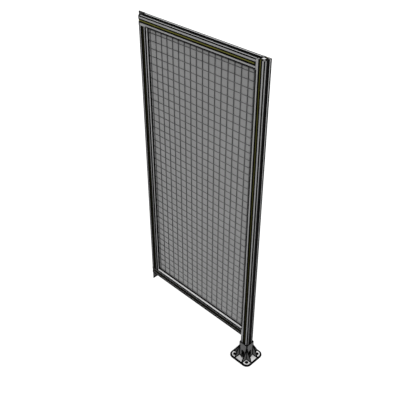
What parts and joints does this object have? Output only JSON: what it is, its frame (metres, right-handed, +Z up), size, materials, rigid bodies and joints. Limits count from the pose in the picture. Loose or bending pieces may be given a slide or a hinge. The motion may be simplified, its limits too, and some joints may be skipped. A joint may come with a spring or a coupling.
{
  "type": "mesh fence panel",
  "caption": "Guard fence panel: grooved aluminium frame with wire mesh on a grey sheet, one post on a cast floor foot, and a steel angle at the free end.",
  "frame": {"origin": "middle of the foot's underside, under the post's axis", "axes": "+Z up along the post; the panel runs from the post towards -X; -Y is the front, with the level wires before the upright ones"},
  "size_m": [0.926, 0.152, 1.876],
  "materials": {
    "profile": "natural anodised, satin, drawn along its length",
    "cover": "olive yellow extruded plastic",
    "sheet": "grey powder coat",
    "wire": "dark coated welded wire",
    "rubber": "black extruded rubber",
    "casting": "grey coated casting",
    "screw": "zinc plated",
    "angle": "dark grey powder coat"
  },
  "bodies": {
    "root": {"post": "profile", "top_rail": "profile", "bottom_rail": "profile", "left_stile": "profile", "front_cover_post": "cover", "back_cover_post": "cover", "front_cover_stile": "cover", "back_cover_stile": "cover", "front_cover_top_rail": "cover", "back_cover_top_rail": "cover", "front_cover_bottom_rail": "cover", "back_cover_bottom_rail": "cover", "infill_sheet": "sheet", "lower_mesh": "wire", "upper_mesh": "wire", "seal_top": "rubber", "seal_bottom": "rubber", "seal_left": "rubber", "seal_right": "rubber", "floor_foot": "casting", "foot_screw_right": "screw", "foot_screw_back": "screw", "foot_screw_left": "screw", "foot_screw_front": "screw", "angle_screws": "screw", "wall_angle": "angle"}
  },
  "joints": []
}
